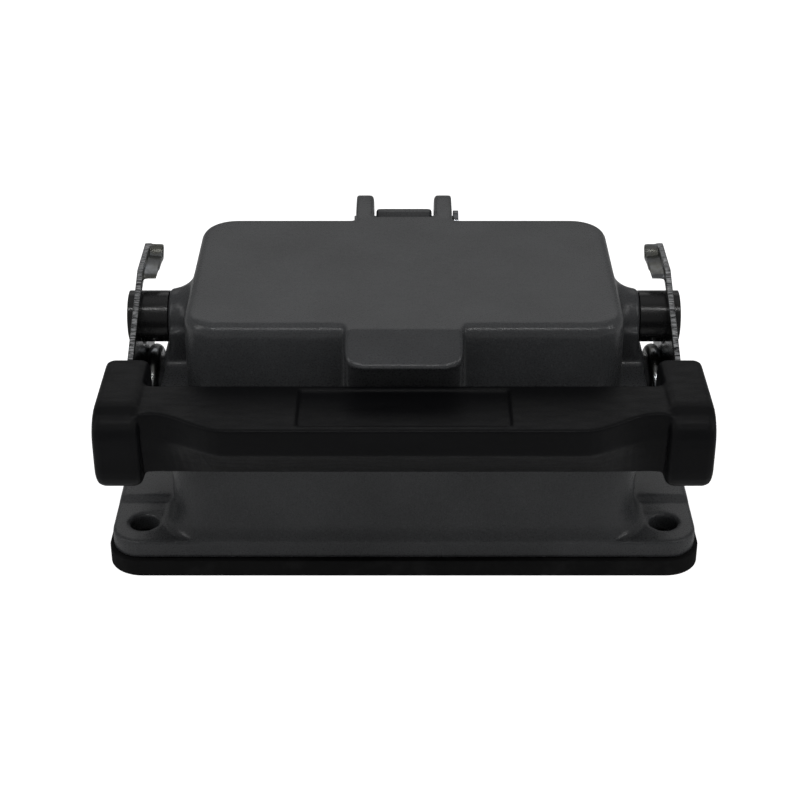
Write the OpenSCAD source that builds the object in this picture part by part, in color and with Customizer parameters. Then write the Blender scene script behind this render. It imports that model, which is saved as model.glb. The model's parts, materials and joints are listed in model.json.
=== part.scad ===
// Covered bulkhead housing of a heavy duty rectangular connector.
// Origin: centre of the mounting holes, on the panel face. +Z leaves the panel, -Y is the grip side.

/* [Mounting flange] */
// Distance between the mounting holes along the housing
hole_pitch_x = 83; // [80:0.5:90]
// Distance between the mounting holes across the housing
hole_pitch_y = 32; // [30:0.5:34]
// Diameter of the mounting holes
hole_d = 4.5; // [3.5:0.1:5]
// Metal left between a mounting hole's centre and the end of the flange
ear_margin = 5; // [4:0.1:7]
// Thickness of the flange
flange_t = 3.2; // [2.5:0.1:4.5]
// Corner radius of the flange
flange_r = 5; // [3:0.1:5.5]
// Height of the raised middle of each flange ear
ear_rise = 0.7; // [0.3:0.1:1]
// Thickness of the flange gasket
gasket_t = 2.8; // [1:0.1:4]
// How far the flange gasket stands out past the flange
gasket_over = 0.6; // [0:0.1:1]

/* [Housing] */
// Outer length of the housing body
body_l = 75.8; // [74:0.1:76.5]
// Outer width of the housing body
body_w = 43.4; // [42.5:0.1:44.5]
// Height of the housing rim above the panel
rim_z = 27; // [26:0.1:28]
// Thickness of the housing wall at its waist
wall = 2.6; // [2:0.1:3]
// Corner radius of the housing body
body_r = 7; // [6:0.1:8]
// How far the waist is drawn in from the body
waist_in = 1.2; // [0.8:0.1:1.6]
// Radius of the flare between waist and flange
flare_r = 8; // [5:0.1:9]

/* [Cover] */
// How far the cover's dome stands in from the housing body at each end
dome_end_in = 4.6; // [3.9:0.1:5.9]
// Width of the cover's dome
dome_w = 40; // [38.5:0.1:40.5]
// Height of the dome's top above the panel
top_z = 43.1; // [42:0.1:44]
// Wall of the cover
cover_wall = 2.4; // [1.8:0.1:2.8]
// Corner radius of the dome
dome_r = 5.6; // [5:0.1:7]
// Rounding of the dome's top edge
dome_edge_r = 1.6; // [1:0.1:3]
// Thickness of the cover's rim flange
rim_t = 1.8; // [1.4:0.1:2.4]
// Width of the thumb tab
tab_w = 17.6; // [14:0.1:20]
// Reach of the thumb tab in front of the dome
tab_reach = 6.5; // [5:0.1:6.8]
// How far the thumb tab slopes down to its end
tab_drop = 3.1; // [2:0.1:3.5]
// Thickness of the thumb tab at its end
tab_t = 0.9; // [0.8:0.1:1.5]

/* [Hinge] */
// Distance of the hinge pin behind the housing's centre
hinge_y = 27.2; // [26.5:0.1:28]
// Height of the hinge pin above the panel
hinge_z = 38.6; // [38:0.1:39]
// Diameter of the hinge pin
hinge_pin_d = 3; // [2.5:0.1:3.4]
// Radius of the round end of each hinge arm
arm_r = 5; // [4:0.1:5.2]
// Thickness of each hinge arm
arm_t = 3; // [2.4:0.1:3.6]
// Distance between the two hinge arms
arm_gap = 10.2; // [8:0.1:12]

/* [Locking peg] */
// Height of the locking pegs above the panel
peg_z = 34.8; // [34.6:0.1:35]
// Diameter of the cast locking peg
peg_d = 5.6; // [5:0.1:6]
// Wall of the bush on each locking peg
bush_wall = 1.3; // [1:0.1:1.35]

/* [Locking lever] */
// Height of the lever's pivot above the panel
pivot_z = 21.5; // [21:0.1:22]
// Diameter of the housing boss that the lever turns on
pivot_d = 10.4; // [9:0.1:10.6]
// Thickness of the lever's side plates
plate_t = 1; // [0.8:0.05:1.1]
// Gap between the housing body and the lever's side plates
plate_clear = 3.6; // [3.5:0.05:3.8]
// How far the plates' flanges reach inwards
lug_reach = 2.3; // [1.6:0.1:2.5]
// Angle through which the lever opens
lever_open = 43; // [40:1:43]
// Angle through which the cam slot lifts the cover meanwhile
cover_lift = 8.6; // [8:0.1:9]

/* [Grip] */
// Height of the grip's top face above the panel
grip_z = 35.8; // [35:0.1:36.5]
// Distance of the grip's back face in front of the housing's centre
grip_back = 24.6; // [24.2:0.1:25]
// Depth of the grip bar at its ends
grip_depth = 8.4; // [7:0.1:9]
// How far the grip bulges forward at its middle
grip_bulge = 4.9; // [2:0.1:6]
// Width of each end block of the grip
block_w = 6.9; // [6:0.1:8]
// Rounding of the end blocks' edges
block_edge_r = 1.2; // [0.5:0.1:1.6]
// Radius of the fillet between the bar and the end blocks
grip_fillet = 3; // [1:0.1:4]
// Length of the bare label recess
label_l = 31; // [20:0.5:40]

/* [Contact insert] */
// Number of contact columns
columns = 5; // [3:1:5]
// Distance from the end of the contact tower to its first contact
end_pole = 6.7; // [6:0.1:9]
// Distance between the two contact rows
row_pitch = 13; // [12:0.1:14]
// Gap between the insert and the housing at each end
insert_end_gap = 2.6; // [2:0.1:3]
// Gap between the insert and the housing on each side
insert_side_gap = 1.4; // [1:0.1:1.8]
// Distance of the insert's screws from its edges
insert_screw_in = 3; // [2.8:0.1:3.4]

/* [Fits] */
// Gap between faces of pieces that move on each other
gap = 0.3; // [0.2:0.05:0.4]
// Radial clearance of pins and bosses in their bores
running = 0.05; // [0.02:0.01:0.08]
// Radial clearance of the peg's bush in the cam slot
slot_play = 0.35; // [0.3:0.05:0.5]

/* [Hidden] */
poles = 2 * columns;
$fn = 64;
eps = 0.01;

flange_l = hole_pitch_x + 2 * ear_margin;
flange_w = body_w + 0.2;
flange_z = gasket_t + flange_t;
cavity_r = body_r - waist_in - wall;
cavity_l = body_l - 2 * (waist_in + wall);
cavity_w = body_w - 2 * (waist_in + wall);
bead_h = 3;
lug_top = 12;
seal_w = 1.6;
seal_depth = 1.4;
seal_u = cavity_r + 1.1;
seal_l = body_l - 2 * (body_r - seal_u);
seal_b = body_w - 2 * (body_r - seal_u);

cover_z = rim_z + gap;
dome_l = body_l - 2 * dome_end_in;
dome_in_l = dome_l - 2 * cover_wall;
dome_in_w = dome_w - 2 * cover_wall;
boss_x = dome_l / 2;
peg_root_x = boss_x + 4;
bush_r = peg_d / 2 + bush_wall;
plate_x = body_l / 2 + plate_clear;
peg_end_x = plate_x + plate_t + 1.5;
block_half_w = 5.6;

slot_half = bush_r + slot_play;
boss_end_x = plate_x + plate_t + gap / 2;
collar_r = pivot_d / 2 + running + plate_t;
plate_top = peg_z + slot_half + 2.7;
knuckle_r = hinge_pin_d / 2 + 1.2;

insert_l = cavity_l - 2 * insert_end_gap;
insert_w = cavity_w - 2 * insert_side_gap;
insert_pitch_x = insert_l - 2 * insert_screw_in;
insert_pitch_y = insert_w - 2 * insert_screw_in;
insert_base_t = 2.8;
insert_z = lug_top + 0.05;
insert_top = insert_z + insert_base_t;
tower_l = insert_pitch_x - 6;
tower_w = row_pitch + 9.4;
tower_top = rim_z - 1.2;
column_pitch = (tower_l - 2 * end_pole) / (columns - 1);

cast_grey = [0.33, 0.34, 0.35];
bush_black = [0.05, 0.05, 0.055];
seal_black = [0.04, 0.04, 0.045];
zinc = [0.72, 0.74, 0.72];
insert_grey = [0.62, 0.62, 0.58];
brass = [0.78, 0.62, 0.3];

// ---------- shared shapes ----------

// Carries a wall profile (x outwards from the corner centre, y upwards) round a rectangle.
module sweep_rect(l, w, r) {
    cx = l / 2 - r;
    cy = w / 2 - r;
    for (q = [0 : 3])
        translate([(q == 0 || q == 3 ? 1 : -1) * cx, (q < 2 ? 1 : -1) * cy, 0])
            rotate([0, 0, 90 * q]) rotate_extrude(angle = 90) children();
    for (turn = [0, 180]) rotate([0, 0, turn]) {
        translate([0, cy, 0]) rotate([90, 0, 90]) linear_extrude(2 * cx, center = true) children();
        translate([cx, 0, 0]) rotate([90, 0, 0]) linear_extrude(2 * cy, center = true) children();
    }
}

module rounded_plan(l, w, r) {
    square([l - 2 * r, w], center = true);
    square([l, w - 2 * r], center = true);
    for (sx = [-1, 1], sy = [-1, 1]) translate([sx * (l / 2 - r), sy * (w / 2 - r)]) circle(r);
}

module rounded_block(l, w, r, z0, z1) {
    translate([0, 0, z0]) linear_extrude(z1 - z0) rounded_plan(l, w, r);
}

// Puts a drawing of (y, z) points at x and gives it a thickness towards +X.
module side_slab(x, t) {
    translate([x, 0, 0]) rotate([90, 0, 90]) linear_extrude(t) children();
}

module x_cylinder(x0, x1, r, y = 0, z = 0) {
    translate([x0, y, z]) rotate([0, 90, 0]) cylinder(h = x1 - x0, r = r);
}

module at_holes(px, py) {
    for (sx = [-1, 1], sy = [-1, 1]) translate([sx * px / 2, sy * py / 2, 0]) children();
}

module both_ends() {
    children();
    mirror([1, 0, 0]) children();
}

function arc(cy, cz, r, a0, a1, n = 10) =
    [for (i = [0 : n]) [cy + r * cos(a0 + (a1 - a0) * i / n), cz + r * sin(a0 + (a1 - a0) * i / n)]];

// ---------- seals ----------

module flange_gasket() {
    color(seal_black) difference() {
        rounded_block(flange_l + 2 * gasket_over, flange_w + 2 * gasket_over, flange_r + gasket_over,
                      0, gasket_t);
        rounded_block(cavity_l, cavity_w, cavity_r, -1, gasket_t + 1);
        at_holes(hole_pitch_x, hole_pitch_y) translate([0, 0, -1]) cylinder(h = gasket_t + 2, r = hole_d / 2);
    }
}

module rim_seal() {
    color(seal_black) translate([0, 0, rim_z - seal_depth])
        sweep_rect(seal_l, seal_b, seal_u)
            polygon([[seal_u - seal_w / 2 + 0.05, 0], [seal_u + seal_w / 2 - 0.05, 0],
                     [seal_u + seal_w / 2 - 0.05, seal_depth - 0.2], [seal_u + 0.35, seal_depth + gap - 0.05],
                     [seal_u - 0.35, seal_depth + gap - 0.05], [seal_u - seal_w / 2 + 0.05, seal_depth - 0.2]]);
}

// ---------- housing ----------

function wall_profile() =
    let (waist = body_r - waist_in, turn = acos(1 - waist_in / flare_r))
    concat(
        [[cavity_r, gasket_t], [body_r, gasket_t], [body_r, flange_z]],
        arc(waist + flare_r, flange_z + flare_r * sin(turn), flare_r, 180 + turn, 180, 8),
        [[waist, rim_z - bead_h - waist_in], [body_r, rim_z - bead_h], [body_r, rim_z - 0.5],
         [body_r - 0.5, rim_z], [cavity_r, rim_z]]);

module pivot_boss() {
    x_cylinder(body_l / 2 - waist_in - wall / 2, boss_end_x, pivot_d / 2, 0, pivot_z);
    intersection() {
        translate([body_l / 2 - waist_in - eps, 0, pivot_z]) rotate([0, 90, 0])
            cylinder(h = waist_in + 0.6, r1 = pivot_d / 2 + 2, r2 = pivot_d / 2 + 0.2);
        translate([0, -body_w / 2, flange_z]) cube([body_l, body_w, rim_z - gap - flange_z]);
    }
}

module hinge_bracket() {
    leg_y = body_w / 2 + 0.6;
    side_slab(-(arm_gap / 2 - gap), arm_gap - 2 * gap) {
        polygon([[body_w / 2 - waist_in - 1, 9], [leg_y + 1, 13], [hinge_y + knuckle_r - 0.4, 22],
                 [hinge_y + knuckle_r, hinge_z], [hinge_y - knuckle_r, hinge_z], [leg_y, 29.5],
                 [leg_y, 20], [body_w / 2 - waist_in - 1, 20]]);
        translate([hinge_y, hinge_z]) circle(knuckle_r);
    }
}

module insert_lug() {
    inner_x = insert_pitch_x / 2 - 3;
    inner_y = insert_pitch_y / 2 - 3;
    translate([inner_x, inner_y, gasket_t])
        cube([cavity_l / 2 - inner_x + 0.5, cavity_w / 2 - inner_y + 0.5, lug_top - gasket_t]);
}

module ear_step() {
    step_l = (flange_l - body_l) / 2 + 2;
    step_w = 2 * (hole_pitch_y / 2 - hole_d / 2 - 4.2);
    translate([body_l / 2 - 2, -step_w / 2, flange_z - 1]) cube([step_l - 0.4, step_w, 1 + ear_rise]);
}

module housing() {
    color(cast_grey) difference() {
        union() {
            difference() {
                rounded_block(flange_l, flange_w, flange_r, gasket_t, flange_z);
                rounded_block(cavity_l, cavity_w, cavity_r, gasket_t - 1, flange_z + 1);
            }
            sweep_rect(body_l, body_w, body_r) polygon(wall_profile());
            both_ends() pivot_boss();
            both_ends() ear_step();
            for (sx = [0, 1], sy = [0, 1]) mirror([sx, 0, 0]) mirror([0, sy, 0]) insert_lug();
            hinge_bracket();
        }
        translate([0, 0, rim_z - seal_depth])
            sweep_rect(seal_l, seal_b, seal_u)
                translate([seal_u - seal_w / 2, 0]) square([seal_w, seal_depth + 1]);
        at_holes(hole_pitch_x, hole_pitch_y)
            translate([0, 0, gasket_t - 1]) cylinder(h = flange_t + 2, r = hole_d / 2);
        at_holes(insert_pitch_x, insert_pitch_y)
            translate([0, 0, lug_top - 7]) cylinder(h = 8, r = 1.5 + running);
        both_ends() x_cylinder(boss_end_x - 6, boss_end_x + 1, 1.75 + running, 0, pivot_z);
        x_cylinder(-arm_gap, arm_gap, hinge_pin_d / 2 + 0.01, hinge_y, hinge_z);
    }
}

// ---------- cover ----------

// Outer profile of the dome, filled inwards to the corner centre.
function dome_profile() = concat(
    [[0, cover_z], [dome_r, cover_z], [dome_r, top_z - dome_edge_r]],
    arc(dome_r - dome_edge_r, top_z - dome_edge_r, dome_edge_r, 0, 90, 6),
    [[0, top_z]]);

module dome_shell() {
    sweep_rect(dome_l, dome_w, dome_r) polygon(dome_profile());
    translate([0, 0, (cover_z + top_z) / 2])
        cube([dome_l - 2 * dome_r + eps, dome_w - 2 * dome_r + eps, top_z - cover_z], center = true);
}

// Flared root of a locking peg, as a turned profile (radius, distance out).
function peg_flare() =
    let (f = 3.6, out = peg_root_x - boss_x + 1)
    concat([[0, 0], [bush_r + 0.3 + f, 0], [bush_r + 0.3 + f, 0.6]],
           [for (a = [20 : 14 : 90]) [bush_r + 0.3 + f * (1 - sin(a)), 0.6 + (out - 0.6) * (1 - cos(a))]],
           [[0, out]]);

module locking_peg() {
    intersection() {
        union() {
            translate([boss_x - 1, 0, peg_z]) rotate([0, 90, 0]) rotate_extrude() polygon(peg_flare());
            rotate([90, 0, 0]) linear_extrude(2 * block_half_w, center = true)
                polygon([[boss_x - 1, cover_z], [peg_root_x + 1.1, cover_z], [peg_root_x + 1.1, cover_z + rim_t],
                         [peg_root_x + 0.4, cover_z + rim_t + 1.6], [peg_root_x, peg_z - bush_r],
                         [peg_root_x - 0.3, peg_z], [boss_x - 1, peg_z]]);
        }
        translate([0, -dome_w / 2, cover_z]) cube([100, dome_w, top_z - 0.4 - cover_z]);
    }
    x_cylinder(boss_x, peg_end_x, peg_d / 2, 0, peg_z);
}

module thumb_tab() {
    front = dome_w / 2;
    intersection() {
        side_slab(-tab_w / 2, tab_w)
            polygon([[-front + 4, top_z], [-front - 0.9, top_z], [-front - tab_reach, top_z - tab_drop],
                     [-front - tab_reach, top_z - tab_drop - tab_t], [-front - 1.7, top_z - tab_drop + 0.4],
                     [-front - 1.7, cover_z + rim_t], [-front + 4, cover_z + rim_t]]);
        translate([0, -front, 0]) rounded_block(tab_w, 2 * tab_reach, 2.6, 0, top_z + 1);
    }
}

module hinge_arm() {
    back = dome_w / 2;
    side_slab(arm_gap / 2, arm_t) {
        polygon([[back - 3, top_z], [back, top_z], [hinge_y - 1, hinge_z + arm_r], [hinge_y, hinge_z],
                 [hinge_y - 3.4, hinge_z - arm_r + 1.3], [back, hinge_z - arm_r - 3.2], [back - 3, hinge_z - arm_r - 3.2]]);
        translate([hinge_y, hinge_z]) circle(arm_r);
    }
}

module cover() {
    color(cast_grey) difference() {
        union() {
            dome_shell();
            rounded_block(body_l, body_w - 0.6, body_r, cover_z, cover_z + rim_t);
            both_ends() locking_peg();
            thumb_tab();
            both_ends() hinge_arm();
            translate([-arm_gap / 2 - 1, dome_w / 2 - 3, top_z - 1.9]) cube([arm_gap + 2, 3.8, 1.9]);
        }
        rounded_block(dome_in_l, dome_in_w, dome_r - cover_wall, cover_z - 1, top_z - cover_wall);
        x_cylinder(-arm_gap, arm_gap, hinge_pin_d / 2 + running, hinge_y, hinge_z);
    }
}

module peg_bush() {
    color(bush_black) difference() {
        x_cylinder(peg_root_x + 0.05, peg_end_x - 0.3, bush_r, 0, peg_z);
        x_cylinder(peg_root_x - 1, peg_end_x + 1, peg_d / 2 + running, 0, peg_z);
    }
}

module hinge_pin() {
    color(zinc) {
        x_cylinder(-arm_gap / 2 - arm_t - 0.4, arm_gap / 2 + arm_t + gap, hinge_pin_d / 2, hinge_y, hinge_z);
        x_cylinder(arm_gap / 2 + arm_t + gap, arm_gap / 2 + arm_t + gap + 0.9, hinge_pin_d / 2 + 0.9, hinge_y, hinge_z);
    }
}

// ---------- locking lever ----------

// Where the peg's centre lies in the lever's own frame when a share s of the travel is done.
function peg_in_lever(s) =
    let (lift = cover_lift * s, open = lever_open * s, py = -hinge_y, pz = peg_z - hinge_z,
         wy = hinge_y + py * cos(lift) + pz * sin(lift),
         wz = hinge_z - py * sin(lift) + pz * cos(lift) - pivot_z)
    [wy * cos(open) + wz * sin(open), -wy * sin(open) + wz * cos(open) + pivot_z];

function unit(v) = v / norm(v);

// A point at a distance from the peg's path, outwards from the pivot when positive.
function beside_path(s, d) =
    let (along = unit(peg_in_lever(s + 0.01) - peg_in_lever(s - 0.01)))
    peg_in_lever(s) + d * [-along[1], along[0]];

function path_band(d0, d1, s0, s1, n = 10) = concat(
    [for (i = [0 : n]) beside_path(s0 + (s1 - s0) * i / n, d0)],
    [for (i = [n : -1 : 0]) beside_path(s0 + (s1 - s0) * i / n, d1)]);

// The open lever lets the peg leave the slot in this direction, seen in the lever's own frame.
release = [sin(lever_open), cos(lever_open)];

module release_band(d0, d1, reach) {
    side = [-release[1], release[0]];
    end = peg_in_lever(1);
    polygon([end + d0 * side, end + d0 * side + reach * release,
             end + d1 * side + reach * release, end + d1 * side]);
}

module plate_outline() {
    tongue_top = grip_z - 3;
    tongue_bottom = grip_z - 9.6;
    tongue_end = -grip_back - 3.4;
    rear = peg_in_lever(1)[0] + 6;
    polygon([[-4.2, plate_top], [rear, plate_top], [collar_r + 3.4, peg_z - slot_half - 2.4],
             [collar_r + 0.8, pivot_z], [0, pivot_z], [-collar_r + 1, pivot_z - 3.4],
             [-grip_back + 5, tongue_bottom], [tongue_end, tongue_bottom],
             [tongue_end, tongue_top], [-grip_back + 7.2, tongue_top]]);
    translate([0, pivot_z]) circle(collar_r + 0.8);
}

module slot_cut() {
    polygon(path_band(-slot_half, slot_half, 0, 1));
    translate(peg_in_lever(0)) circle(slot_half);
    translate(peg_in_lever(1)) circle(slot_half);
    release_band(-slot_half, slot_half, 3 * slot_half);
}

// Strips along the slot and the hook's end that are bent inwards, for the peg to bear on.
module bent_strips() {
    difference() {
        intersection() {
            union() {
                polygon(path_band(slot_half, slot_half + plate_t, -0.02, 1));
                polygon(path_band(-slot_half - plate_t, -slot_half, 0.1, 0.75));
                release_band(slot_half, slot_half + plate_t, 3 * slot_half);
            }
            plate_outline();
        }
        slot_cut();
    }
}

module lever_plate() {
    color(zinc) {
        side_slab(plate_x, plate_t) difference() {
            plate_outline();
            slot_cut();
            translate([0, pivot_z]) circle(pivot_d / 2 + running);
        }
        side_slab(plate_x - lug_reach, lug_reach + eps) bent_strips();
        difference() {
            x_cylinder(plate_x - lug_reach, plate_x + eps, collar_r, 0, pivot_z);
            x_cylinder(plate_x - lug_reach - 1, plate_x + 1, pivot_d / 2 + running, 0, pivot_z);
        }
    }
}

module pivot_rivet() {
    color(zinc) {
        x_cylinder(boss_end_x - 5.5, boss_end_x + eps, 1.75, 0, pivot_z);
        translate([boss_end_x, 0, pivot_z]) rotate([0, 90, 0])
            rotate_extrude() polygon([[0, 0], [pivot_d / 2 + 1.2, 0], [pivot_d / 2 + 1.2, 0.7],
                                      [pivot_d / 2 + 0.4, 1.3], [0, 1.5]]);
    }
}

// Forward bulge of the grip bar at x, from none near the blocks to full over the middle.
function bulge(x, ends) =
    let (t = max(0, min(1, (ends - 3 - abs(x)) / 11))) grip_bulge * t * t * (3 - 2 * t);

// Quarter-round blend, 0 along the bar and 1 where it meets an end block.
function end_blend(x, ends) =
    let (t = max(0, (abs(x) - ends + grip_fillet) / grip_fillet)) 1 - sqrt(max(0, 1 - t * t));

block_back = -grip_back + 7.6;
block_front = -grip_back - grip_depth - 2.4;
block_top = grip_z + 0.6;
block_bottom = grip_z - 12.6;

function bar_section(x, ends) =
    let (front = -grip_back - grip_depth - bulge(x, ends), bottom = grip_z - 10.7)
    [[-grip_back, grip_z], [front, grip_z], [front, grip_z - 4.2],
     [-grip_back - grip_depth + 1.3, bottom], [-grip_back - 2.6, bottom], [-grip_back, bottom + 2.9]];

function end_section() =
    [[-grip_back + 2, block_top - 0.4], [block_front + 1.8, block_top - 1.6],
     [block_front + 0.3, block_bottom + 8], [block_front + 2.5, block_bottom + 1],
     [-grip_back - 4.6, block_bottom + 1.2], [-grip_back + 1, block_bottom + 3.4]];

function grip_section(x, ends) =
    let (w = end_blend(x, ends), bar = bar_section(x, ends), end = end_section())
    [for (k = [0 : len(bar) - 1]) let (p = bar[k] * (1 - w) + end[k] * w) [x, p[0], p[1]]];

module grip_bar(half_l) {
    steps = 60;
    m = len(end_section());
    rings = [for (i = [0 : steps]) -half_l * cos(180 * i / steps)];
    polyhedron([for (x = rings) each grip_section(x, half_l)], concat(
        [[for (k = [0 : m - 1]) k]],
        [for (i = [0 : steps - 1], k = [0 : m - 1]) let (a = m * i + k, b = m * i + (k + 1) % m)
            each [[a, a + m, b + m], [a, b + m, b]]],
        [[for (k = [m - 1 : -1 : 0]) m * steps + k]]));
}

// Upper body of an end block, convex.
function block_body() = concat(
    arc(block_back - 1, block_top - 1, 1, 0, 90, 2), arc(block_front + 5, block_top - 5, 5, 90, 180, 6),
    [[block_front, block_bottom + 4.4], [-grip_back - 4, block_bottom + 2.8],
     [block_back - 2, block_bottom + 2.8], [block_back, block_bottom + 4.8]]);

// Nose of an end block, which reaches lower in front of the flange.
function block_nose() = concat(
    [[-grip_back - 2.4, block_bottom + 2.8], [-grip_back - 2.4, block_bottom + 8], [block_front, block_bottom + 8]],
    arc(block_front + 4, block_bottom + 4, 4, 180, 270, 5), [[-grip_back - 5.6, block_bottom]]);

// A convex drawing as a slab along X with rounded edges.
module soft_slab(x, t, r, points) {
    hull() for (step = [[0, 1], [0.3, 0.29], [1, 0]])
        side_slab(x + step[0] * r, t - 2 * step[0] * r) offset(delta = -step[1] * r) polygon(points);
}

module grip() {
    inner_x = plate_x + plate_t / 2 - block_w / 2 - 0.3;
    pocket_l = 2 * inner_x - 6;
    pockets = 7;
    color(bush_black) difference() {
        union() {
            grip_bar(inner_x + block_edge_r + 0.2);
            both_ends() {
                soft_slab(inner_x, block_w, block_edge_r, block_body());
                soft_slab(inner_x, block_w, block_edge_r, block_nose());
            }
        }
        translate([-label_l / 2, -grip_back - grip_depth - grip_bulge + 1.6, grip_z - 0.5])
            cube([label_l, grip_depth + grip_bulge - 2.6, 1]);
        for (n = [0 : pockets - 1])
            translate([-pocket_l / 2 + n * pocket_l / pockets + 0.7, -grip_back - grip_depth + 2.6, grip_z - 12])
                cube([pocket_l / pockets - 1.4, grip_depth - 5.4, 10]);
        both_ends() side_slab(plate_x, plate_t) intersection() {
            plate_outline();
            translate([-grip_back - 6, 0]) square([20, 60]);
        }
    }
}

// ---------- contact insert ----------

function pole_x(n) = ((n - 1) % columns - (columns - 1) / 2) * column_pitch;
function pole_side(n) = n <= columns ? -1 : 1;

contact_r = 2.1;
terminal_out = 4.6;
earth_x = insert_pitch_x / 2;

// Puts a contact's shape, drawn with its terminal towards +Y, in the place of contact n.
module at_pole(n) {
    translate([pole_x(n), pole_side(n) * row_pitch / 2, 0])
        mirror([0, pole_side(n) < 0 ? 1 : 0, 0]) children();
}

module contact_bores() {
    for (n = [1 : poles]) at_pole(n) translate([0, 0, 1]) cylinder(h = tower_top, r = contact_r + running);
}

module insert_body() {
    color(insert_grey) difference() {
        union() {
            rounded_block(insert_l, insert_w, 3, insert_z, insert_top);
            rounded_block(tower_l, tower_w, 2, insert_z, tower_top);
        }
        contact_bores();
        at_holes(insert_pitch_x, insert_pitch_y)
            translate([0, 0, lug_top - 1]) cylinder(h = 6, r = 1.5 + 0.2);
        for (sx = [-1, 1]) translate([sx * earth_x, 0, insert_z - 1]) cylinder(h = 6, r = 1.6);
    }
}

// Second moulding of the insert, which holds the contacts' terminals from below.
module terminal_block() {
    color(insert_grey) difference() {
        rounded_block(insert_pitch_x - 7, insert_w - 1, 1.5, gasket_t + 0.4, lug_top);
        contact_bores();
        for (n = [1 : poles]) at_pole(n) translate([-3.1, -3.1, gasket_t - 1]) cube([6.2, 10.2, 7.7]);
    }
}

module socket_contact(n) {
    color(brass) at_pole(n) difference() {
        union() {
            translate([0, 0, gasket_t + 5]) cylinder(h = tower_top - gasket_t - 5.6, r = contact_r);
            translate([-3, -3, gasket_t + 0.6]) cube([6, 10, 6]);
        }
        translate([0, 0, tower_top - 10]) cylinder(h = 12, r = 1.25);
        translate([0, 0, gasket_t - 1]) cylinder(h = 6, r = 1.7);
        translate([0, terminal_out, gasket_t - 1]) cylinder(h = 6.5, r = 1.5 + running);
    }
}

module terminal_screws() {
    color(zinc) for (n = [1 : poles])
        at_pole(n) translate([0, terminal_out, gasket_t + 0.5]) difference() {
            cylinder(h = 4.6, r = 1.5);
            translate([-2, -0.25, -1]) cube([4, 0.5, 1.7]);
        }
}

module earth_plate() {
    color(zinc) difference() {
        union() {
            translate([tower_l / 2 + 0.3, -6, insert_top]) cube([insert_l / 2 - tower_l / 2 - 0.6, 12, 0.8]);
            for (s = [-1, 1]) translate([insert_l / 2 - 1.1, s * 4 - 1.2, insert_top]) cube([0.8, 2.4, 6]);
        }
        translate([earth_x, 0, insert_top - 1]) cylinder(h = 3, r = 1.6);
    }
}

// Pan head screw with a slot, its seat at z = 0.
module pan_screw(d, l, head_d) {
    difference() {
        union() {
            translate([0, 0, -l]) cylinder(h = l + eps, r = d / 2);
            rotate_extrude() polygon([[0, 0], [head_d / 2, 0], [head_d / 2, 0.9], [head_d / 2 - 0.7, 1.6], [0, 1.8]]);
        }
        translate([-head_d, -0.3, 0.9]) cube([2 * head_d, 0.6, 2]);
    }
}

module earth_screws() {
    color(zinc) both_ends()
        translate([earth_x, 0, insert_top + 0.8]) pan_screw(3, 3.6, 5);
}

module insert_screws() {
    color(zinc) at_holes(insert_pitch_x, insert_pitch_y)
        translate([0, 0, insert_top]) pan_screw(3, 8.5, 5.4);
}

flange_gasket();
housing();
rim_seal();
cover();
mirror([1, 0, 0]) peg_bush();  // peg_bush_left
peg_bush();  // peg_bush_right
hinge_pin();
mirror([1, 0, 0]) lever_plate();  // lever_plate_left
lever_plate();  // lever_plate_right
grip();
mirror([1, 0, 0]) pivot_rivet();  // pivot_rivet_left
pivot_rivet();  // pivot_rivet_right
insert_body();
terminal_block();
terminal_screws();
mirror([1, 0, 0]) earth_plate();  // earth_plate_left
earth_plate();  // earth_plate_right
earth_screws();
insert_screws();
for (n = [1 : poles])
    socket_contact(n);
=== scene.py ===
"""Looks of a covered heavy duty connector housing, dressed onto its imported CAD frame.

The castings, the grip and the pressed side plates are softened copies of their CAD solids, so
their edges and inner corners are rounded as the tools leave them. Each side plate also gets a
rounded collar at its pivot. Everything else keeps its solid and gets a finish.
Lengths are in metres.
"""

import json
import math

import bmesh
import bpy
from bpy.props import FloatProperty, FloatVectorProperty, IntProperty, PointerProperty
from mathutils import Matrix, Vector


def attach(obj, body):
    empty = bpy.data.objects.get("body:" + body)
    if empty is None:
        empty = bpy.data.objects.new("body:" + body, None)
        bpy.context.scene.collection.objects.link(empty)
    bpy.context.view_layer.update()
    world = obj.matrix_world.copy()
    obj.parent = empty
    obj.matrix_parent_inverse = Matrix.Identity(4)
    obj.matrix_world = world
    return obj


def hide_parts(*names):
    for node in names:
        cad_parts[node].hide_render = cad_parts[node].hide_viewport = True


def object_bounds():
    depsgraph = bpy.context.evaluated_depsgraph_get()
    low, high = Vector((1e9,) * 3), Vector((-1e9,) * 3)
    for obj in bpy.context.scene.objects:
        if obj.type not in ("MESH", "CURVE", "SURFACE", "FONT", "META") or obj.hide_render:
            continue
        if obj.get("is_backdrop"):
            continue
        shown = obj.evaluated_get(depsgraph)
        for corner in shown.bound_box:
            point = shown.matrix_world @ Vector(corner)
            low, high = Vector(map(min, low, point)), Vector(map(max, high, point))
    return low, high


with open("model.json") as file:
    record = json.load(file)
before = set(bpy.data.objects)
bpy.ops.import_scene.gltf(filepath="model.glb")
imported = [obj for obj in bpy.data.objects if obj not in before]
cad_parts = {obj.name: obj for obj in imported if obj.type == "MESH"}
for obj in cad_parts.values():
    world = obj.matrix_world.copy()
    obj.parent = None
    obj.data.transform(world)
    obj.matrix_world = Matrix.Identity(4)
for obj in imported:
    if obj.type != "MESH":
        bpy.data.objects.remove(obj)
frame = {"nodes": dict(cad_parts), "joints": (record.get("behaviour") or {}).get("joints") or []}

bl_info = {
    "name": "Heavy Duty Connector Looks",
    "version": (1, 0, 0),
    "blender": (4, 5, 0),
    "location": "View3D > Sidebar > Connector",
    "description": "Finishes, castings and stage for a covered connector housing",
    "category": "Object",
}

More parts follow.
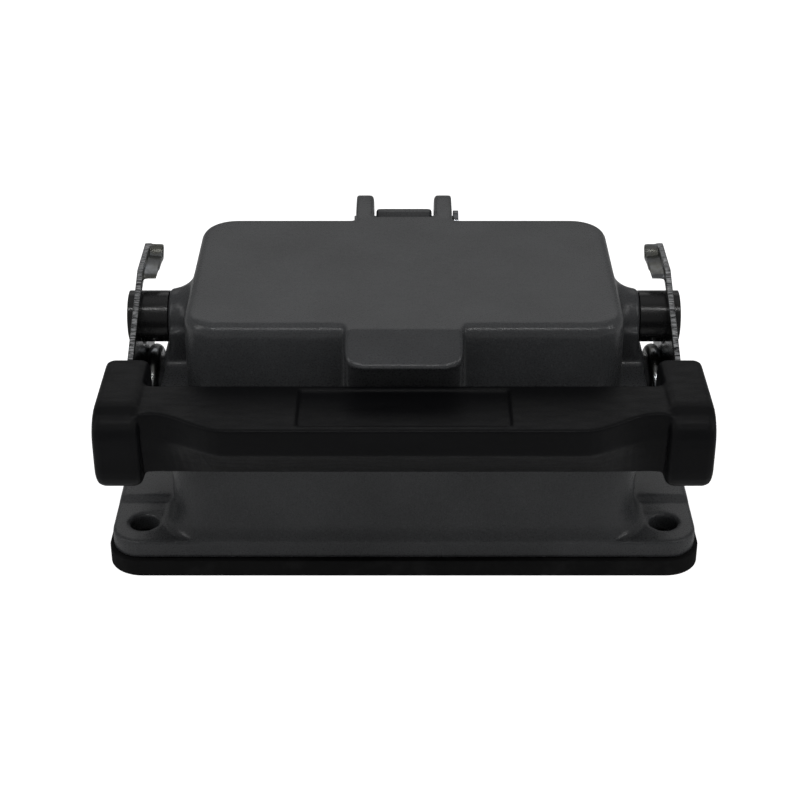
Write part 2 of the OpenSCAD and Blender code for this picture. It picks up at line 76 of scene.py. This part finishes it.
MM = 0.001
NODES = frame["nodes"]
CONTACTS = [name for name in NODES if name.startswith("socket_contact")]
SHARP_ANGLE = math.radians(28)
MERGE_DISTANCE = 0.001 * MM

# The side plates in side view, as (Y, Z): where the trimmed edge of the hook starts, and the
# two corners of the field in which the strips bent inwards are left off.
HOOK_NECK = (-17.4 * MM, 32.8 * MM)
STRIP_GAP = ((-12 * MM, 28.9 * MM), (4.6 * MM, 40.8 * MM))
# The strips across the plates: how near to the middle they reach, what the gap leaves on the
# plate's inner face, and how far off that face they start to be smoothed.
STRIP_REACH = 38 * MM
STRIP_SKIN = 0.05 * MM
STRIP_ROOT = 0.1 * MM
PLATE_PASSES = 1

# The collar round each pivot, with an oval section.
LEVER_PIVOT = next(joint["pos_m"] for joint in frame["joints"] if joint["name"] == "lever_pivot")
COLLAR_OUT = 40.37 * MM
COLLAR_RADIUS = 6.35 * MM
COLLAR_HALF_WIDTH = 1.13 * MM
COLLAR_HALF_DEPTH = 1.05 * MM
COLLAR_STEPS = 72
SECTION_STEPS = 20

# Panels of light: name, spot, size and the setting that holds the power.
LIGHT_AIM = (0, 0, 0.03)
PANELS = (
    ("Top", (0, 0.10, 0.60), (0.55, 0.40), "top_power"),
    ("Back", (0, 0.55, 0.42), (0.70, 0.22), "back_power"),
    ("Glint", (0, -0.30, 0.53), (0.6, 0.012), "glint_power"),
    ("Side left", (-0.45, -0.12, 0.30), (0.02, 0.35), "side_power"),
    ("Side right", (0.45, -0.12, 0.30), (0.02, 0.35), "side_power"),
)
WHITE = (1, 1, 1, 1)
SKY_LOW, SKY_HIGH = (0.56, 0.56, 0.56, 1), (0.44, 0.44, 0.44, 1)
FLOOR_DULL, FLOOR_PALE = (0.84, 0.84, 0.84, 1), (0.86, 0.86, 0.86, 1)
FLOOR_GLOW = 0.86
FLOOR_DROP = 0.02 * MM


def colour_property(name, description, default):
    return FloatVectorProperty(name=name, description=description, default=default,
                               subtype="COLOR", size=3, min=0, max=1)


def length_property(name, description, default_mm):
    return FloatProperty(name=name, description=description, default=default_mm * MM, min=0,
                         subtype="DISTANCE", unit="LENGTH", precision=5)


def passes_property(name, description, default):
    return IntProperty(name=name, description=description, default=default, min=0, max=60)


def power_property(name, description, default):
    return FloatProperty(name=name, description=description, default=default, min=0,
                         unit="POWER")


class ConnectorFinish(bpy.types.PropertyGroup):
    """Colours and grain of the finishes."""

    casting: colour_property(
        "Casting", "Colour of the powder coat", (0.056, 0.058, 0.061))
    # The thin coat colour also lightens the edges as a painted glint.
    casting_thin_and_glint: colour_property(
        "Thin coat", "Colour where the coat is thin on edges", (0.15, 0.155, 0.16))
    grip: colour_property(
        "Grip", "Colour of the moulded grip", (0.0036, 0.0037, 0.0043))
    bush: colour_property(
        "Bush", "Colour of the peg bushes", (0.013, 0.013, 0.0135))
    rubber: colour_property(
        "Seal", "Colour of the seals", (0.0095, 0.0095, 0.0098))
    zinc: colour_property(
        "Zinc", "Colour of the zinc plating", (0.24, 0.25, 0.265))
    passivate: colour_property(
        "Passivate", "Tint that the passivation leaves on the zinc", (0.15, 0.15, 0.135))
    insulator: colour_property(
        "Insulator", "Colour of the contact insert", (0.42, 0.41, 0.35))
    contact: colour_property(
        "Contact", "Colour of the contacts", (0.72, 0.66, 0.52))
    coat_grain: length_property(
        "Coat grain", "Size of the powder coat's orange peel", 0.75)
    plastic_grain: length_property(
        "Plastic grain", "Size of the eroded grain on the mouldings", 0.35)


class ConnectorShape(bpy.types.PropertyGroup):
    """How far the copies are softened, and how the side plates are trimmed."""

    casting_cell: length_property(
        "Casting cell", "Cell size of the softened castings", 0.42)
    casting_passes: passes_property(
        "Casting passes", "Smoothing passes on a casting", 3)
    grip_cell: length_property(
        "Grip cell", "Cell size of the softened grip", 0.26)
    grip_passes: passes_property(
        "Grip passes", "Smoothing passes on the grip", 3)
    plate_cell: length_property(
        "Plate cell", "Cell size of the softened side plates", 0.2)
    plate_inner: length_property(
        "Plate face", "Distance of the side plates' inner faces from the middle", 41.5)
    hook_front: length_property(
        "Hook front", "Place of the hook's front corner along Y", 2.8)
    hook_top: length_property(
        "Hook top", "Height of the hook's front corner", 42.1)
    strip_passes: passes_property(
        "Strip passes", "Smoothing passes on the plates' bent strips", 24)
    edge_round: length_property(
        "Edge rounding", "Rounding that shading gives to sharp edges", 0.22)


class ConnectorStage(bpy.types.PropertyGroup):
    """Camera, lights and floor."""

    camera_back: length_property(
        "Camera back", "Distance of the camera in front of the origin", 258.9)
    camera_up: length_property(
        "Camera height", "Height of the camera above the panel face", 166.4)
    pitch: FloatProperty(
        name="Pitch", description="Downward tilt of the camera",
        default=math.radians(29.6), subtype="ANGLE", unit="ROTATION")
    lens: FloatProperty(
        name="Lens", description="Focal length in millimetres",
        default=81.6, min=10, unit="CAMERA")
    shift: FloatProperty(
        name="Shift", description="Sideways lens shift", default=-0.005)
    sky: FloatProperty(
        name="Sky", description="Strength of the surrounding light", default=0.40, min=0)
    top_power: power_property(
        "Top light", "Power of the overhead panel", 0.15)
    back_power: power_property(
        "Back light", "Power of the rear panel", 0.25)
    side_power: power_property(
        "Side light", "Power of each side strip", 0.25)
    glint_power: power_property(
        "Glint light", "Power of the narrow strip that front edges catch", 0.75)
    floor_size: length_property(
        "Floor size", "Width of the floor", 4000)


# ---------- node helpers ----------

FLOAT, COLOUR = "NodeSocketFloat", "NodeSocketColor"
# The sockets that a Mix node uses for colours.
MIX_FACTOR, MIX_FIRST, MIX_SECOND, MIX_RESULT = 0, 6, 7, 2
# Cosine between the true and the rounded normal, where an edge begins and where it is full.
EDGE_BEGINS, EDGE_FULL = 0.995, 0.9
# Dark and bright streaks of the torn steel on sheared edges: the torn grain, coloured as painted
# shade and painted glints.
TORN_SHADE_STREAK, TORN_GLINT_STREAK = (0.02, 0.02, 0.022, 1), (0.7, 0.71, 0.72, 1)


def add(tree, kind, inputs=(), **settings):
    """A node with its settings, its inputs linked from sockets or set to values."""
    node = tree.nodes.new(kind)
    for key, value in settings.items():
        setattr(node, key, value)
    for key, value in dict(inputs).items():
        if isinstance(value, bpy.types.NodeSocket):
            tree.links.new(value, node.inputs[key])
        else:
            node.inputs[key].default_value = value
    return node


def finish_group(name, inputs):
    """A group for one finish: its tree, its given sockets and a function that links results."""
    tree = bpy.data.node_groups.new(name, "ShaderNodeTree")
    for label, kind, default in inputs:
        socket = tree.interface.new_socket(label, in_out="INPUT", socket_type=kind)
        socket.default_value = default
    for label, kind in (("Colour", COLOUR), ("Roughness", FLOAT), ("Height", FLOAT)):
        tree.interface.new_socket(label, in_out="OUTPUT", socket_type=kind)
    given, results = tree.nodes.new("NodeGroupInput"), tree.nodes.new("NodeGroupOutput")

    def put_out(colour, roughness, height):
        for label, value in (("Colour", colour), ("Roughness", roughness), ("Height", height)):
            tree.links.new(value, results.inputs[label])

    return tree, given.outputs, put_out


def maths(tree, operation, first, second=0.0):
    return add(tree, "ShaderNodeMath", {0: first, 1: second}, operation=operation).outputs[0]


def plus(tree, first, second):
    return maths(tree, "ADD", first, second)


def times(tree, first, second):
    return maths(tree, "MULTIPLY", first, second)


def remap(tree, value, low, high, to_low=0.0, to_high=1.0):
    ends = {"From Min": low, "From Max": high, "To Min": to_low, "To Max": to_high}
    return add(tree, "ShaderNodeMapRange", {"Value": value, **ends}).outputs["Result"]


def noise(tree, vector, scale, detail=2.0, roughness=0.5):
    field = {"Vector": vector, "Scale": scale, "Detail": detail, "Roughness": roughness}
    return add(tree, "ShaderNodeTexNoise", field).outputs["Fac"]


def grain_noise(tree, vector, size, detail, roughness):
    """Noise whose grain is about as large as a size socket says."""
    return noise(tree, vector, maths(tree, "DIVIDE", 1.0, size), detail, roughness)


def mix_colour(tree, factor, first, second):
    mix = {MIX_FACTOR: factor, MIX_FIRST: first, MIX_SECOND: second}
    return add(tree, "ShaderNodeMix", mix, data_type="RGBA").outputs[MIX_RESULT]


def toned(tree, colour, value):
    """A colour made darker or lighter by a factor."""
    return add(tree, "ShaderNodeHueSaturation", {"Color": colour, "Value": value}).outputs[0]


def place(tree):
    return tree.nodes.new("ShaderNodeTexCoord").outputs["Object"]


def stretched(tree, vector, factors):
    return add(tree, "ShaderNodeMapping", {"Vector": vector, "Scale": factors}).outputs[0]


def side_part(tree, vector):
    """The size of a vector's X part, whichever side it points to."""
    part = add(tree, "ShaderNodeSeparateXYZ", {"Vector": vector}).outputs["X"]
    return maths(tree, "ABSOLUTE", part)


def edge_mask(tree, radius):
    """1 on convex and concave edges narrower than the radius, 0 on flats."""
    soft = add(tree, "ShaderNodeBevel", {"Radius": radius}, samples=4).outputs["Normal"]
    hard = tree.nodes.new("ShaderNodeNewGeometry").outputs["Normal"]
    facing = add(tree, "ShaderNodeVectorMath", {0: soft, 1: hard}, operation="DOT_PRODUCT")
    return remap(tree, facing.outputs["Value"], EDGE_BEGINS, EDGE_FULL)


def rgba(colour):
    return (*colour, 1.0)


# ---------- finishes ----------


def powder_coat_group():
    """Orange-peel powder coat over a casting: mottled, lighter on edges where the coat runs thin
    and as a painted glint, with a few specks.
    """
    tree, given, put_out = finish_group("Powder Coat", [
        ("Colour", COLOUR, (0.06, 0.06, 0.06, 1)), ("Thin", COLOUR, (0.15, 0.15, 0.15, 1)),
        ("Grain", FLOAT, 0.8 * MM)])
    where, coat, thin = place(tree), given["Colour"], given["Thin"]
    scale = maths(tree, "DIVIDE", 1.0, given["Grain"])
    peel = noise(tree, where, scale, roughness=0.45)
    fine = noise(tree, where, times(tree, scale, 3.1))
    mottle = noise(tree, where, 90.0, detail=4.0)
    body = mix_colour(tree, remap(tree, mottle, 0.35, 0.65),
                      toned(tree, coat, 0.88), toned(tree, coat, 1.12))
    specks = times(tree, remap(tree, fine, 0.62, 0.74), 0.35)
    body = mix_colour(tree, specks, body, thin)
    # Edges turn lighter: partly the coat running thin, partly a painted glint along the rounded
    # edges.
    lighter_edges = times(tree, edge_mask(tree, 0.5 * MM), remap(tree, mottle, 0.3, 0.7, 0.05, 0.4))
    put_out(mix_colour(tree, lighter_edges, body, thin),
            remap(tree, fine, 0.3, 0.7, to_low=0.24, to_high=0.36),
            plus(tree, peel, times(tree, fine, 0.35)))
    return tree


def moulded_group():
    """Eroded mould grain on black plastic, with faint flow and handling marks."""
    tree, given, put_out = finish_group("Moulded Plastic", [
        ("Colour", COLOUR, (0.01, 0.01, 0.01, 1)), ("Grain", FLOAT, 0.4 * MM),
        ("Polish", FLOAT, 0.4)])
    where, plastic = place(tree), given["Colour"]
    grain = grain_noise(tree, where, given["Grain"], 3.0, 0.6)
    flow = noise(tree, stretched(tree, where, (14.0, 120.0, 120.0)), 1.0, 5.0, 0.62)
    rubbed = noise(tree, stretched(tree, where, (260.0, 900.0, 900.0)), 1.0, 3.0)
    pale = toned(tree, plastic, 1.7)
    body = mix_colour(tree, remap(tree, flow, 0.38, 0.72), plastic, pale)
    lighter_edges = times(tree, edge_mask(tree, 0.6 * MM), 0.5)
    marks = plus(tree, remap(tree, grain, 0.3, 0.7, to_high=0.08),
                 remap(tree, rubbed, 0.35, 0.7, to_high=0.1))
    put_out(mix_colour(tree, lighter_edges, body, pale),
            plus(tree, marks, given["Polish"]),
            plus(tree, grain, times(tree, flow, 0.15)))
    return tree


def zinc_group():
    """Plated steel: cloudy passivation on the faces; sheared edges in torn streaks of painted
    shade and painted glints.
    """
    tree, given, put_out = finish_group("Zinc Plate", [
        ("Zinc", COLOUR, (0.6, 0.6, 0.6, 1)), ("Passivate", COLOUR, (0.5, 0.45, 0.3, 1)),
        ("Sheared from", FLOAT, 1.0)])
    where = place(tree)
    cloud = noise(tree, where, 230.0, 4.0, 0.6)
    spark = noise(tree, where, 1900.0)
    across = side_part(tree, tree.nodes.new("ShaderNodeNewGeometry").outputs["Normal"])
    beyond = maths(tree, "GREATER_THAN", side_part(tree, where), given["Sheared from"])
    sheared = times(tree, remap(tree, across, 0.75, 0.45), beyond)
    tear = noise(tree, stretched(tree, where, (500.0, 5200.0, 5200.0)), 1.0, 3.0, 0.7)
    body = mix_colour(tree, remap(tree, cloud, 0.42, 0.62), given["Zinc"], given["Passivate"])
    # Torn grain on the sheared edges, coloured as painted shade and painted glints.
    torn_shade_and_glint = mix_colour(tree, remap(tree, tear, 0.42, 0.62), TORN_SHADE_STREAK, TORN_GLINT_STREAK)
    put_out(mix_colour(tree, sheared, body, torn_shade_and_glint),
            plus(tree, remap(tree, cloud, 0.3, 0.7, 0.16, 0.3), times(tree, sheared, 0.2)),
            plus(tree, times(tree, spark, 0.3), times(tree, sheared, tear)))
    return tree


def rubber_group():
    """Matt seal rubber with talc in its grain."""
    tree, given, put_out = finish_group("Seal Rubber", [
        ("Colour", COLOUR, (0.01, 0.01, 0.01, 1))])
    where, rubber = place(tree), given["Colour"]
    talc = noise(tree, where, 160.0, 5.0, 0.65)
    put_out(mix_colour(tree, remap(tree, talc, 0.5, 0.75), rubber, toned(tree, rubber, 2.2)),
            remap(tree, talc, 0.3, 0.7, to_low=0.72, to_high=0.9),
            noise(tree, where, 2200.0, 3.0))
    return tree


def insert_group():
    """Filler flecks in a plain colour, for the insert's mouldings and its contacts."""
    tree, given, put_out = finish_group("Insert Surface", [
        ("Colour", COLOUR, (0.5, 0.5, 0.5, 1)), ("Fleck", FLOAT, 0.6 * MM)])
    fleck = grain_noise(tree, place(tree), given["Fleck"], 3.0, 0.6)
    put_out(mix_colour(tree, remap(tree, fleck, 0.4, 0.6), toned(tree, given["Colour"], 0.8),
                       given["Colour"]),
            remap(tree, fleck, 0.3, 0.7, to_low=0.35, to_high=0.55),
            fleck)
    return tree


def make_material(name, group, values, relief, metallic=0.0, specular=0.5, rounding=0.0):
    """A Principled material fed by a finish group, with the group's height as bump."""
    material = bpy.data.materials.new(name)
    material.use_nodes = True
    tree = material.node_tree
    shader = tree.nodes["Principled BSDF"]
    shader.inputs["Metallic"].default_value = metallic
    shader.inputs["Specular IOR Level"].default_value = specular
    finish = add(tree, "ShaderNodeGroup", node_tree=group)
    for key, value in values.items():
        finish.inputs[key].default_value = value
    tree.links.new(finish.outputs["Colour"], shader.inputs["Base Color"])
    tree.links.new(finish.outputs["Roughness"], shader.inputs["Roughness"])
    bump = add(tree, "ShaderNodeBump",
               {"Height": finish.outputs["Height"], "Distance": relief, "Strength": 1.0})
    if rounding:
        soft = add(tree, "ShaderNodeBevel", {"Radius": rounding}, samples=6)
        tree.links.new(soft.outputs["Normal"], bump.inputs["Normal"])
    tree.links.new(bump.outputs["Normal"], shader.inputs["Normal"])
    return material


def finish_library(scene):
    """Every material by name, made once."""
    if "Casting" in bpy.data.materials:
        return bpy.data.materials
    look, shape = scene.connector_finish, scene.connector_shape
    edge = shape.edge_round
    plastic, zinc, insert = moulded_group(), zinc_group(), insert_group()
    coat = {"Colour": rgba(look.casting), "Thin": rgba(look.casting_thin_and_glint),
            "Grain": look.coat_grain}
    grip = {"Colour": rgba(look.grip), "Grain": look.plastic_grain, "Polish": 0.34}
    bush = {"Colour": rgba(look.bush), "Grain": look.plastic_grain, "Polish": 0.16}
    plating = {"Zinc": rgba(look.zinc), "Passivate": rgba(look.passivate)}
    make_material("Casting", powder_coat_group(), coat, relief=0.035 * MM, specular=0.45)
    make_material("Grip", plastic, grip, relief=0.02 * MM, specular=0.14)
    make_material("Bush", plastic, bush, relief=0.005 * MM, specular=0.4, rounding=edge)
    make_material("Zinc", zinc, plating, relief=0.02 * MM, metallic=1.0, rounding=edge)
    make_material("Pressed zinc", zinc, {**plating, "Sheared from": shape.plate_inner},
                  relief=0.02 * MM, metallic=1.0)
    make_material("Seal", rubber_group(), {"Colour": rgba(look.rubber)}, relief=0.02 * MM,
                  specular=0.12, rounding=2 * edge)
    make_material("Insulator", insert, {"Colour": rgba(look.insulator)}, relief=0.01 * MM,
                  rounding=edge)
    make_material("Contact", insert, {"Colour": rgba(look.contact), "Fleck": 0.2 * MM},
                  relief=0.005 * MM, metallic=1.0, rounding=edge)
    return bpy.data.materials


# ---------- shapes ----------


def in_scene(name, data):
    """A new object with its data, in the scene."""
    obj = bpy.data.objects.new(name, data)
    bpy.context.scene.collection.objects.link(obj)
    return obj


def mesh_from(name, work):
    """A new mesh from a bmesh, which is freed."""
    mesh = bpy.data.meshes.new(name)
    work.to_mesh(mesh)
    work.free()
    return mesh


def shade_smooth(mesh):
    mesh.polygons.foreach_set("use_smooth", [True] * len(mesh.polygons))


def trim(work, point, normal):
    """Cuts a closed bmesh with a plane, drops the normal's side and closes the cut."""
    everything = [*work.verts, *work.edges, *work.faces]
    cut = bmesh.ops.bisect_plane(work, geom=everything, plane_co=point, plane_no=normal,
                                 clear_outer=True)["geom_cut"]
    rim = [part for part in cut if isinstance(part, bmesh.types.BMEdge)]
    bmesh.ops.triangle_fill(work, edges=rim, use_beauty=True, use_dissolve=False)


def box_mesh(name, low, high):
    """A box between its lowest and its highest corner."""
    work = bmesh.new()
    bmesh.ops.create_cube(work, size=1.0)
    for vert in work.verts:
        vert.co = [b if c > 0 else a for a, b, c in zip(low, high, vert.co)]
    return mesh_from(name, work)


def relax(mesh, passes, inner_x, inner_passes):
    """Smooths a mesh, and what lies nearer to the middle than inner_x for some passes more."""
    work = bmesh.new()
    work.from_mesh(mesh)
    inner = [vert for vert in work.verts if abs(vert.co.x) < inner_x]
    for verts, count in ((work.verts, passes), (inner, inner_passes)):
        for _ in range(count):
            bmesh.ops.smooth_vert(work, verts=verts, factor=0.5,
                                  use_axis_x=True, use_axis_y=True, use_axis_z=True)
    work.to_mesh(mesh)
    work.free()


def softened(node, name, cell, passes, inner_x=0.0, inner_passes=0, cuts=(), notch=None):
    """A copy of a CAD node, remeshed in small cells and smoothed, so that edges are rounded.

    Each cut is a point and normal of a plane that trims it first, and the notch is a box, as
    two corners, that is taken out of it. What lies nearer to the middle than inner_x gets
    inner_passes more.
    """
    work = bmesh.new()
    work.from_mesh(NODES[node].data)
    bmesh.ops.remove_doubles(work, verts=work.verts, dist=MERGE_DISTANCE)
    for point, normal in cuts:
        trim(work, point, normal)
    solid = mesh_from(name, work)
    piece = in_scene(name, solid)
    if notch:
        block = box_mesh("notch", *notch)
        tool = in_scene("notch", block)
        bite = piece.modifiers.new("Notch", "BOOLEAN")
        bite.object, bite.operation, bite.solver = tool, "DIFFERENCE", "EXACT"
    skin = piece.modifiers.new("Skin", "REMESH")
    skin.mode, skin.voxel_size = "VOXEL", cell
    graph = bpy.context.evaluated_depsgraph_get()
    piece.data = bpy.data.meshes.new_from_object(piece.evaluated_get(graph))
    piece.modifiers.clear()
    if notch:
        bpy.data.objects.remove(tool)
        bpy.data.meshes.remove(block)
    bpy.data.meshes.remove(solid)
    piece.data.name = name
    relax(piece.data, passes, inner_x, inner_passes)
    shade_smooth(piece.data)
    return piece


def turned_ring(name, middle, radius, half_width, half_depth):
    """A closed ring about a line along X through its middle, with an oval section."""
    work = bmesh.new()
    rows = []
    for i in range(COLLAR_STEPS):
        turn = 2 * math.pi * i / COLLAR_STEPS
        rows.append([])
        for k in range(SECTION_STEPS):
            angle = 2 * math.pi * k / SECTION_STEPS
            out = radius + half_depth * math.sin(angle)
            offset = (half_width * math.cos(angle), out * math.cos(turn), out * math.sin(turn))
            rows[-1].append(work.verts.new(Vector(middle) + Vector(offset)))
    for one, two in zip(rows, rows[1:] + rows[:1]):
        for k in range(SECTION_STEPS):
            after = (k + 1) % SECTION_STEPS
            work.faces.new((one[k], two[k], two[after], one[after]))
    bmesh.ops.recalc_face_normals(work, faces=work.faces)
    mesh = mesh_from(name, work)
    shade_smooth(mesh)
    return in_scene(name, mesh)


def hook_cut(shape):
    """The plane along the trimmed front edge of the plates' hooks, as a point and normal."""
    neck = Vector((0, *HOOK_NECK))
    along = Vector((0, shape.hook_front, shape.hook_top)) - neck
    return neck, Vector((0, -along.z, along.y))


def strip_notch(shape, sign):
    """The box in which one plate's bent strips are left off, as two corners."""
    inner, outer = sorted((sign * STRIP_REACH, sign * (shape.plate_inner - STRIP_SKIN)))
    front, back = STRIP_GAP
    return (inner, *front), (outer, *back)


# ---------- pieces ----------


def set_material(obj, material):
    if obj.material_slots:
        obj.material_slots[0].material = material
    else:
        obj.data.materials.append(material)


def dress(scene, names, material):
    """Gives CAD nodes a finish and smooth shading, with their shapes as they are."""
    for name in names:
        mesh = NODES[name].data
        shade_smooth(mesh)
        mesh.set_sharp_from_angle(angle=SHARP_ANGLE)
        set_material(NODES[name], finish_library(scene)[material])


def fit(scene, piece, body, material, node=None):
    """Gives a made piece its finish and lets it ride a body, hiding the node whose place it
    takes.
    """
    set_material(piece, finish_library(scene)[material])
    if node:
        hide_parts(node)
    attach(piece, body)


class CONNECTOR_OT_housing(bpy.types.Operator):
    """Makes the powder coated housing"""

    bl_idname = "connector.housing"
    bl_label = "Housing"

    def execute(self, context):
        shape = context.scene.connector_shape
        piece = softened("housing", "housing_casting", shape.casting_cell, shape.casting_passes)
        fit(context.scene, piece, "base", "Casting", node="housing")
        return {"FINISHED"}


class CONNECTOR_OT_cover(bpy.types.Operator):
    """Makes the powder coated cover and finishes its bushes"""

    bl_idname = "connector.cover"
    bl_label = "Cover"

    def execute(self, context):
        shape = context.scene.connector_shape
        piece = softened("cover", "cover_casting", shape.casting_cell, shape.casting_passes)
        fit(context.scene, piece, "cover", "Casting", node="cover")
        dress(context.scene, ["peg_bush_left", "peg_bush_right"], "Bush")
        return {"FINISHED"}


class CONNECTOR_OT_lever(bpy.types.Operator):
    """Makes the lever: the moulded grip, the pressed side plates and their collars"""

    bl_idname = "connector.lever"
    bl_label = "Locking lever"

    def execute(self, context):
        scene, shape = context.scene, context.scene.connector_shape
        piece = softened("grip", "grip_moulding", shape.grip_cell, shape.grip_passes)
        fit(scene, piece, "lever", "Grip", node="grip")
        _, *pivot = LEVER_PIVOT
        for side, sign in (("left", -1), ("right", 1)):
            plate = softened(
                f"lever_plate_{side}", f"pressed_plate_{side}", shape.plate_cell, PLATE_PASSES,
                inner_x=shape.plate_inner - STRIP_ROOT, inner_passes=shape.strip_passes,
                cuts=[hook_cut(shape)], notch=strip_notch(shape, sign))
            fit(scene, plate, "lever", "Pressed zinc",
                node=f"lever_plate_{side}")
            collar = turned_ring(f"pivot_collar_{side}", (sign * COLLAR_OUT, *pivot),
                                 COLLAR_RADIUS, COLLAR_HALF_WIDTH, COLLAR_HALF_DEPTH)
            fit(scene, collar, "lever", "Zinc")
        return {"FINISHED"}


class CONNECTOR_OT_hardware(bpy.types.Operator):
    """Finishes the pins, rivets and seals"""

    bl_idname = "connector.hardware"
    bl_label = "Pins, rivets and seals"

    def execute(self, context):
        dress(context.scene, ["hinge_pin", "pivot_rivet_left", "pivot_rivet_right"], "Zinc")
        dress(context.scene, ["flange_gasket", "rim_seal"], "Seal")
        return {"FINISHED"}


class CONNECTOR_OT_insert(bpy.types.Operator):
    """Finishes the contact insert"""

    bl_idname = "connector.insert"
    bl_label = "Contact insert"

    def execute(self, context):
        dress(context.scene, ["insert_body", "terminal_block"], "Insulator")
        dress(context.scene, CONTACTS, "Contact")
        dress(context.scene, ["terminal_screws", "earth_plate_left", "earth_plate_right",
                              "earth_screws", "insert_screws"], "Zinc")
        return {"FINISHED"}


# ---------- stage ----------


def make_camera(stage):
    """The camera in front of the grip side, looking down onto the cover."""
    data = bpy.data.cameras.new("Camera")
    data.lens = stage.lens
    data.shift_x = stage.shift
    data.clip_start = 1 * MM
    camera = in_scene("Camera", data)
    camera.location = (0, -stage.camera_back, stage.camera_up)
    camera.rotation_euler = (math.pi / 2 - stage.pitch, 0, 0)
    return camera


def area_light(name, spot, size, power):
    """A panel of light that is turned to the part."""
    data = bpy.data.lights.new(name, "AREA")
    data.shape = "RECTANGLE"
    data.size, data.size_y = size
    data.energy = power
    lamp = in_scene(name, data)
    lamp.location = spot
    lamp.rotation_euler = (Vector(LIGHT_AIM) - Vector(spot)).to_track_quat("-Z", "Y").to_euler()


def camera_sees(tree, seen, other):
    """A shader that is one thing to the camera and another to all other rays."""
    rays = tree.nodes.new("ShaderNodeLightPath")
    return add(tree, "ShaderNodeMixShader",
               {0: rays.outputs["Is Camera Ray"], 1: other.outputs[0], 2: seen.outputs[0]})


def make_sky(scene, strength):
    """Soft surrounding light that the camera sees as plain white."""
    world = bpy.data.worlds.new("Studio")
    scene.world = world
    world.use_nodes = True
    tree = world.node_tree
    light = tree.nodes["Background"]
    direction = tree.nodes.new("ShaderNodeTexCoord").outputs["Generated"]
    up = add(tree, "ShaderNodeSeparateXYZ", {"Vector": direction}).outputs["Z"]
    tone = mix_colour(tree, remap(tree, up, -0.1, 0.9), SKY_LOW, SKY_HIGH)
    tree.links.new(tone, light.inputs["Color"])
    light.inputs["Strength"].default_value = strength
    white = add(tree, "ShaderNodeBackground", {"Color": WHITE, "Strength": 1.0})
    surface = tree.nodes["World Output"].inputs["Surface"]
    tree.links.new(camera_sees(tree, white, light).outputs[0], surface)


def floor_material():
    """A pale floor that takes shadows, and looks white to the camera where it is lit."""
    material = bpy.data.materials.new("Floor")
    material.use_nodes = True
    tree = material.node_tree
    shader = tree.nodes["Principled BSDF"]
    shader.inputs["Roughness"].default_value = 0.9
    shader.inputs["Specular IOR Level"].default_value = 0.0
    shade = mix_colour(tree, noise(tree, place(tree), 3.0), FLOOR_DULL, FLOOR_PALE)
    tree.links.new(shade, shader.inputs["Base Color"])
    glow = add(tree, "ShaderNodeEmission", {"Color": WHITE, "Strength": FLOOR_GLOW})
    lit = add(tree, "ShaderNodeAddShader", {0: shader.outputs[0], 1: glow.outputs[0]})
    surface = tree.nodes["Material Output"].inputs["Surface"]
    tree.links.new(camera_sees(tree, lit, shader).outputs[0], surface)
    return material


def make_floor(size):
    """A square floor just under the part."""
    half = size / 2
    mesh = bpy.data.meshes.new("floor")
    corners = [(-half, -half, 0), (half, -half, 0), (half, half, 0), (-half, half, 0)]
    mesh.from_pydata(corners, [], [(0, 1, 2, 3)])
    floor = in_scene("floor", mesh)
    lowest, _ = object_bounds()
    floor.location.z = lowest[2] - FLOOR_DROP
    mesh.materials.append(floor_material())
    floor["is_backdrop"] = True


class CONNECTOR_OT_stage(bpy.types.Operator):
    """Makes the camera, lights and floor"""

    bl_idname = "connector.stage"
    bl_label = "Stage"

    def execute(self, context):
        scene = context.scene
        stage = scene.connector_stage
        scene.camera = make_camera(stage)
        for name, spot, size, power in PANELS:
            area_light(name, spot, size, getattr(stage, power))
        make_sky(scene, stage.sky)
        make_floor(stage.floor_size)
        scene.view_settings.view_transform = "Standard"
        return {"FINISHED"}


class CONNECTOR_PT_panel(bpy.types.Panel):
    """Sidebar panel with the settings and the operators"""

    bl_label = "Connector"
    bl_idname = "CONNECTOR_PT_panel"
    bl_space_type = "VIEW_3D"
    bl_region_type = "UI"
    bl_category = "Connector"

    def draw(self, context):
        layout = self.layout
        for name, label, _ in SETTINGS:
            group = getattr(context.scene, name)
            box = layout.box()
            box.label(text=label)
            for key in group.__annotations__:
                box.prop(group, key)
        for operator in OPERATORS:
            layout.operator(operator.bl_idname)


SETTINGS = (
    ("connector_finish", "Finish", ConnectorFinish),
    ("connector_shape", "Shape", ConnectorShape),
    ("connector_stage", "Stage", ConnectorStage),
)
OPERATORS = (
    CONNECTOR_OT_stage,
    CONNECTOR_OT_housing,
    CONNECTOR_OT_cover,
    CONNECTOR_OT_lever,
    CONNECTOR_OT_hardware,
    CONNECTOR_OT_insert,
)


def register():
    for name, _, settings in SETTINGS:
        bpy.utils.register_class(settings)
        setattr(bpy.types.Scene, name, PointerProperty(type=settings))
    for operator in OPERATORS:
        bpy.utils.register_class(operator)
    bpy.utils.register_class(CONNECTOR_PT_panel)


def unregister():
    bpy.utils.unregister_class(CONNECTOR_PT_panel)
    for operator in reversed(OPERATORS):
        bpy.utils.unregister_class(operator)
    for name, _, settings in reversed(SETTINGS):
        delattr(bpy.types.Scene, name)
        bpy.utils.unregister_class(settings)


def main():
    """Registers the add-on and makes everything."""
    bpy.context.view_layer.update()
    register()
    bpy.ops.connector.stage()
    bpy.ops.connector.housing()
    bpy.ops.connector.cover()
    bpy.ops.connector.lever()
    bpy.ops.connector.hardware()
    bpy.ops.connector.insert()


if __name__ == "__main__":
    main()
